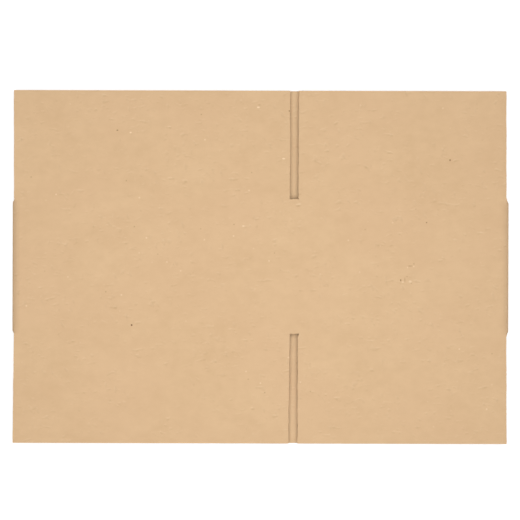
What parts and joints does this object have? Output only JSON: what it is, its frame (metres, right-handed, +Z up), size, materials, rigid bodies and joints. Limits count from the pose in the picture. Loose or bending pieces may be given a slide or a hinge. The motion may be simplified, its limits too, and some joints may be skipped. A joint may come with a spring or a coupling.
{
  "type": "flattened cardboard box",
  "caption": "Regular slotted shipping box of single-wall corrugated board, glued into a sleeve and folded flat, with slotted end flaps and open flutes along its cut edges.",
  "frame": {"origin": "middle of the underside of the flat box, on the surface it lies on", "axes": "+X along the length and width panels, +Y along the flutes towards the upper flaps, +Z up, out of the front layer"},
  "size_m": [0.352, 0.25, 0.0083],
  "materials": {
    "kraft_board": "matte brown kraft paper with fine fibres"
  },
  "bodies": {
    "root": {"flattened_box": "kraft_board"}
  },
  "joints": []
}
